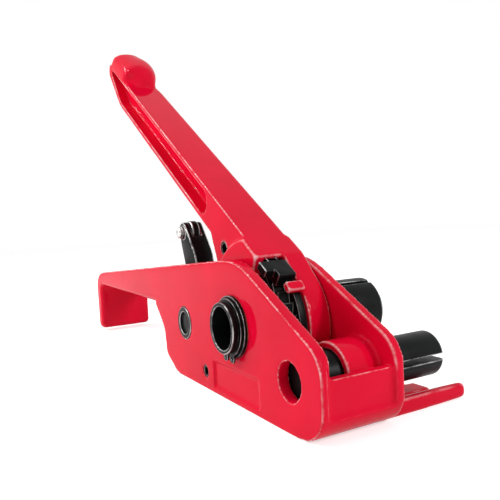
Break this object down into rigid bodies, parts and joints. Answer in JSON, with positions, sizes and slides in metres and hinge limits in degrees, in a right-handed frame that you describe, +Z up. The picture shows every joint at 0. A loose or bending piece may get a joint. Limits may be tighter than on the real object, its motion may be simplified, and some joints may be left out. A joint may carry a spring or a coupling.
{
  "type": "strapping tensioner",
  "caption": "Hand ratchet tensioner for cord strapping: cast body with a palm rest, pumping handle, split windlass, split front shaft and a strap foot.",
  "frame": {"origin": "on the flat base, under the windlass axis, half way across the casting", "axes": "+X towards the nose, +Y from the near side plate towards the free ends of the split shafts, +Z up from the base"},
  "size_m": [0.3233, 0.0969, 0.2233],
  "materials": {
    "red_paint": "glossy crimson paint over a cast body",
    "black_steel": "satin black oxide on machined steel",
    "bronze": "turned bronze, dull",
    "bright_steel": "zinc plated, satin",
    "spring_steel": "oiled spring wire"
  },
  "bodies": {
    "frame": {"body_casting": "red_paint", "near_bush": "bronze", "far_bush": "bronze", "thrust_washer": "black_steel", "fork_washer": "bright_steel", "fork_shim": "bright_steel", "holding_pawl_pin": "black_steel", "pin_bush_near": "black_steel", "pin_bush_far": "black_steel", "pawl_spacer": "bright_steel", "spring_spacer": "bright_steel", "holding_pawl_spring": "spring_steel", "spring_anchor_pin": "black_steel", "front_shaft": "black_steel", "front_lock_pin": "black_steel"},
    "windlass": {"windlass_shaft": "black_steel", "ratchet_wheel": "black_steel", "ratchet_key": "bright_steel", "retaining_ring": "black_steel"},
    "handle": {"handle_casting": "red_paint", "handle_bush_near": "bronze", "handle_bush_far": "bronze", "drive_pawl_pin": "black_steel", "drive_pawl_spring": "spring_steel"},
    "drive_pawl": {"drive_pawl": "black_steel"},
    "holding_pawl": {"holding_pawl": "black_steel", "lever_cross_pin": "bright_steel"},
    "lever_roller": {"lever_roller": "black_steel"}
  },
  "joints": [
    {"name": "windlass_spin", "type": "hinge", "parent": "frame", "child": "windlass", "pos_m": [0, 0, 0.0375], "axis": [0, 1, 0], "continuous": true},
    {"name": "handle_swing", "type": "hinge", "parent": "frame", "child": "handle", "pos_m": [0, 0, 0.0375], "axis": [0, 1, 0], "range_deg": [-9, 90]},
    {"name": "drive_pawl_lift", "type": "hinge", "parent": "handle", "child": "drive_pawl", "pos_m": [-0.02736, 0, 0.07339], "axis": [0, -1, 0], "range_deg": [0, 5], "stiffness_Nm_per_rad": 0.3, "springref_deg": -28.65},
    {"name": "holding_pawl_release", "type": "hinge", "parent": "frame", "child": "holding_pawl", "pos_m": [-0.059, 0, 0.0315], "axis": [0, -1, 0], "range_deg": [0, 7], "stiffness_Nm_per_rad": 0.5, "springref_deg": -28.65},
    {"name": "lever_roller_spin", "type": "hinge", "parent": "holding_pawl", "child": "lever_roller", "pos_m": [-0.083, 0, 0.082], "axis": [0, 1, 0], "continuous": true}
  ]
}
